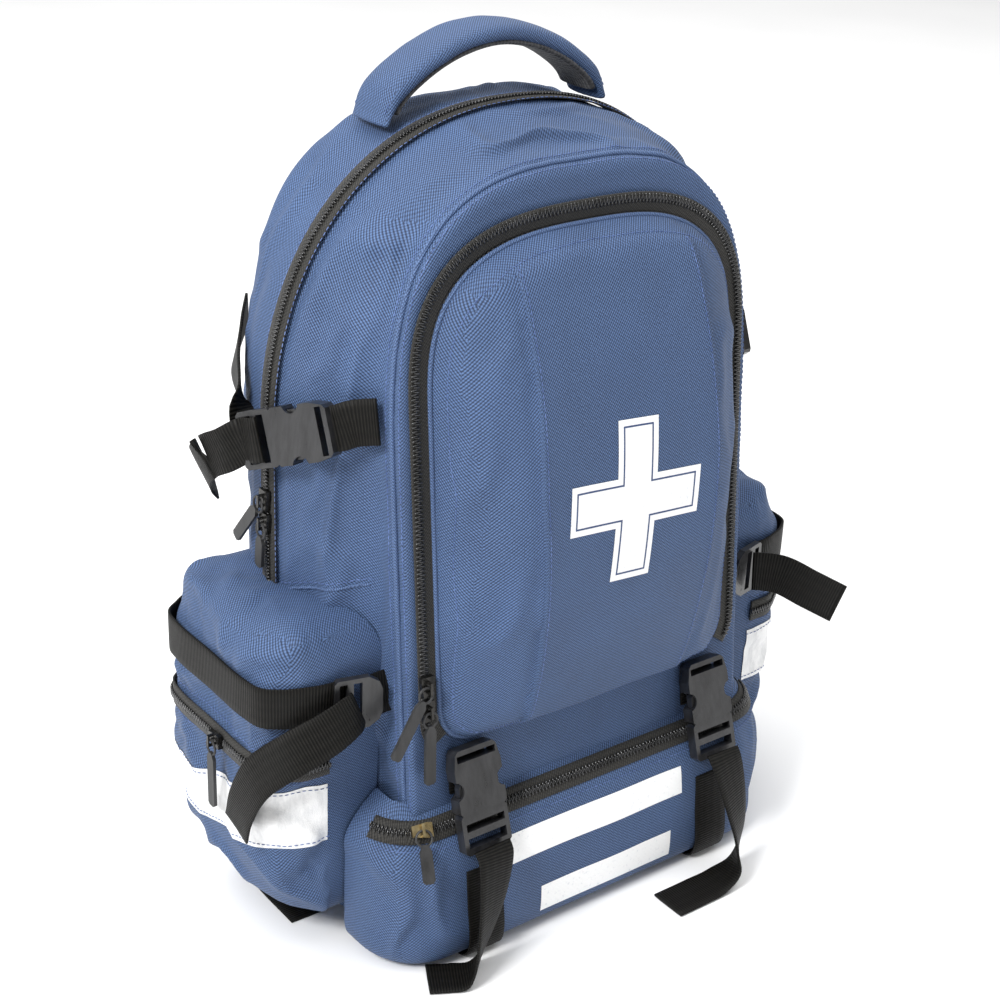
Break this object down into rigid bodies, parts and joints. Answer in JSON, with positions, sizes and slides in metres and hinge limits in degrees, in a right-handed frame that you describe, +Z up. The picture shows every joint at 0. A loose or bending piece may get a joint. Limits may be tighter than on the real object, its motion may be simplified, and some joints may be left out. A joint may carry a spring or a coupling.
{
  "type": "trauma backpack",
  "caption": "Upright fabric medical backpack with an arched body, fold-down front pocket, lower pocket, side pockets, grab handle, shoulder straps and buckled compression straps",
  "frame": {"origin": "on the flat base of the main body, halfway across its width and in the plane of the main zip", "axes": "+Z up, -Y towards the front pocket, +X to the right of someone who looks at the front"},
  "size_m": [0.414, 0.2676, 0.5085],
  "materials": {
    "navy_fabric": "woven polyester, matt with a slight sheen",
    "webbing": "ribbed webbing, slightly glossy threads",
    "buckle_plastic": "moulded, satin",
    "zip_chain": "moulded coil on woven tape",
    "slider_metal": "black, glossy",
    "pull_rubber": "moulded, matt",
    "mesh_padding": "spacer mesh",
    "foam": "closed-cell foam"
  },
  "bodies": {
    "bag": {"rear_shell": "navy_fabric", "front_shell": "navy_fabric", "main_zip_chain": "zip_chain", "front_zip_chain": "zip_chain", "lower_pocket": "navy_fabric", "lower_zip_chain": "zip_chain", "back_pad": "mesh_padding", "back_foam_board": "foam", "side_pocket_left": "navy_fabric", "side_zip_chain_left": "zip_chain", "front_buckle_female_left": "buckle_plastic", "front_strap_upper_left": "webbing", "front_strap_sewn_left": "webbing", "front_strap_tail_left": "webbing", "side_buckle_female_left": "buckle_plastic", "side_strap_front_left": "webbing", "side_strap_rear_left": "webbing", "side_strap_tail_left": "webbing", "pocket_strap_left": "webbing", "shoulder_strap_left": "navy_fabric", "shoulder_webbing_left": "webbing", "side_pocket_right": "navy_fabric", "side_zip_chain_right": "zip_chain", "front_buckle_female_right": "buckle_plastic", "front_strap_upper_right": "webbing", "front_strap_sewn_right": "webbing", "front_strap_tail_right": "webbing", "side_buckle_female_right": "buckle_plastic", "side_strap_front_right": "webbing", "side_strap_rear_right": "webbing", "side_strap_tail_right": "webbing", "pocket_strap_right": "webbing", "shoulder_strap_right": "navy_fabric", "shoulder_webbing_right": "webbing"},
    "front_door": {"front_pocket_door": "navy_fabric"},
    "handle": {"grab_handle": "navy_fabric"},
    "front_male_left": {"front_buckle_male_left": "buckle_plastic"},
    "side_male_left": {"side_buckle_male_left": "buckle_plastic"},
    "pocket_lock_left": {"pocket_strap_lock_left": "buckle_plastic", "pocket_strap_tail_left": "webbing"},
    "shoulder_lock_left": {"shoulder_lock_left": "buckle_plastic"},
    "front_male_right": {"front_buckle_male_right": "buckle_plastic"},
    "side_male_right": {"side_buckle_male_right": "buckle_plastic"},
    "pocket_lock_right": {"pocket_strap_lock_right": "buckle_plastic", "pocket_strap_tail_right": "webbing"},
    "shoulder_lock_right": {"shoulder_lock_right": "buckle_plastic"},
    "main_zip_upper_slider": {"main_zip_upper_slider": "slider_metal"},
    "main_zip_upper_pull": {"main_zip_upper_pull": "pull_rubber"},
    "main_zip_lower_slider": {"main_zip_lower_slider": "slider_metal"},
    "main_zip_lower_pull": {"main_zip_lower_pull": "pull_rubber"},
    "front_zip_upper_slider": {"front_zip_upper_slider": "slider_metal"},
    "front_zip_upper_pull": {"front_zip_upper_pull": "pull_rubber"},
    "front_zip_lower_slider": {"front_zip_lower_slider": "slider_metal"},
    "front_zip_lower_pull": {"front_zip_lower_pull": "pull_rubber"},
    "lower_zip_slider": {"lower_zip_slider": "slider_metal"},
    "lower_zip_pull": {"lower_zip_pull": "pull_rubber"},
    "side_zip_left_slider": {"side_zip_left_slider": "slider_metal"},
    "side_zip_left_pull": {"side_zip_left_pull": "pull_rubber"},
    "side_zip_right_slider": {"side_zip_right_slider": "slider_metal"},
    "side_zip_right_pull": {"side_zip_right_pull": "pull_rubber"}
  },
  "joints": [
    {"name": "front_door_fold", "type": "hinge", "parent": "bag", "child": "front_door", "pos_m": [0, -0.104, 0.1375], "axis": [1, 0, 0], "range_deg": [0, 75]},
    {"name": "handle_fold", "type": "hinge", "parent": "bag", "child": "handle", "pos_m": [0, 0.042, 0.457], "axis": [-1, 0, 0], "range_deg": [0, 40]},
    {"name": "front_buckle_left_pull", "type": "slide", "parent": "bag", "child": "front_male_left", "axis": [0, -0.309, -0.9511], "range_m": [0, 0.018]},
    {"name": "side_buckle_left_pull", "type": "slide", "parent": "bag", "child": "side_male_left", "axis": [-0.3801, 0.8602, -0.3401], "range_m": [0, 0.018]},
    {"name": "pocket_lock_left_tilt", "type": "hinge", "parent": "bag", "child": "pocket_lock_left", "pos_m": [-0.1349, -0.0786, 0.168], "axis": [0, 0, 1], "range_deg": [0, 35]},
    {"name": "shoulder_lock_left_tilt", "type": "hinge", "parent": "bag", "child": "shoulder_lock_left", "pos_m": [-0.073, 0.0835, 0.143], "axis": [1, 0, 0], "range_deg": [0, 35]},
    {"name": "front_buckle_right_pull", "type": "slide", "parent": "bag", "child": "front_male_right", "axis": [0, -0.309, -0.9511], "range_m": [0, 0.018]},
    {"name": "side_buckle_right_pull", "type": "slide", "parent": "bag", "child": "side_male_right", "axis": [0.3801, 0.8602, -0.3401], "range_m": [0, 0.018]},
    {"name": "pocket_lock_right_tilt", "type": "hinge", "parent": "bag", "child": "pocket_lock_right", "pos_m": [0.1349, -0.0786, 0.168], "axis": [0, 0, -1], "range_deg": [0, 35]},
    {"name": "shoulder_lock_right_tilt", "type": "hinge", "parent": "bag", "child": "shoulder_lock_right", "pos_m": [0.073, 0.0835, 0.143], "axis": [1, 0, 0], "range_deg": [0, 35]},
    {"name": "main_zip_upper_run", "type": "slide", "parent": "bag", "child": "main_zip_upper_slider", "axis": [0, 0, 1], "range_m": [0, 0.01]},
    {"name": "main_zip_upper_pull_swing", "type": "hinge", "parent": "main_zip_upper_slider", "child": "main_zip_upper_pull", "pos_m": [-0.1621, 0, 0.264], "axis": [0, 0.7648, 0.6442], "range_deg": [0, 90]},
    {"name": "main_zip_lower_run", "type": "slide", "parent": "bag", "child": "main_zip_lower_slider", "axis": [0, 0, -1], "range_m": [0, 0.005]},
    {"name": "main_zip_lower_pull_swing", "type": "hinge", "parent": "main_zip_lower_slider", "child": "main_zip_lower_pull", "pos_m": [-0.1621, 0, 0.25], "axis": [0, 0.995, 0.0998], "range_deg": [0, 90]},
    {"name": "front_zip_upper_run", "type": "slide", "parent": "bag", "child": "front_zip_upper_slider", "axis": [0, 0.0903, 0.9959], "range_m": [0, 0.11]},
    {"name": "front_zip_upper_pull_swing", "type": "hinge", "parent": "front_zip_upper_slider", "child": "front_zip_upper_pull", "pos_m": [-0.115, -0.09915, 0.17827], "axis": [-0.8253, 0.0534, 0.5621], "range_deg": [0, 90]},
    {"name": "front_zip_lower_run", "type": "slide", "parent": "bag", "child": "front_zip_lower_slider", "axis": [0, -0.0903, -0.9959], "range_m": [0, 0.008]},
    {"name": "front_zip_lower_pull_swing", "type": "hinge", "parent": "front_zip_lower_slider", "child": "front_zip_lower_pull", "pos_m": [-0.115, -0.10051, 0.16327], "axis": [-0.9988, 0.0047, 0.0498], "range_deg": [0, 90]},
    {"name": "lower_zip_run", "type": "slide", "parent": "bag", "child": "lower_zip_slider", "axis": [0.9394, -0.3429, 0], "range_m": [0, 0.01]},
    {"name": "lower_zip_pull_swing", "type": "hinge", "parent": "lower_zip_slider", "child": "lower_zip_pull", "pos_m": [-0.12457, -0.10971, 0.09443], "axis": [-0.9394, 0.3429, 0], "range_deg": [0, 90]},
    {"name": "side_zip_left_run", "type": "slide", "parent": "bag", "child": "side_zip_left_slider", "axis": [0, 1, 0], "range_m": [0, 0.026]},
    {"name": "side_zip_left_pull_swing", "type": "hinge", "parent": "side_zip_left_slider", "child": "side_zip_left_pull", "pos_m": [-0.2048, -0.014, 0.131], "axis": [0, 1, 0], "range_deg": [0, 90]},
    {"name": "side_zip_right_run", "type": "slide", "parent": "bag", "child": "side_zip_right_slider", "axis": [0, 1, 0], "range_m": [0, 0.026]},
    {"name": "side_zip_right_pull_swing", "type": "hinge", "parent": "side_zip_right_slider", "child": "side_zip_right_pull", "pos_m": [0.2048, -0.014, 0.131], "axis": [0, -1, 0], "range_deg": [0, 90]}
  ]
}
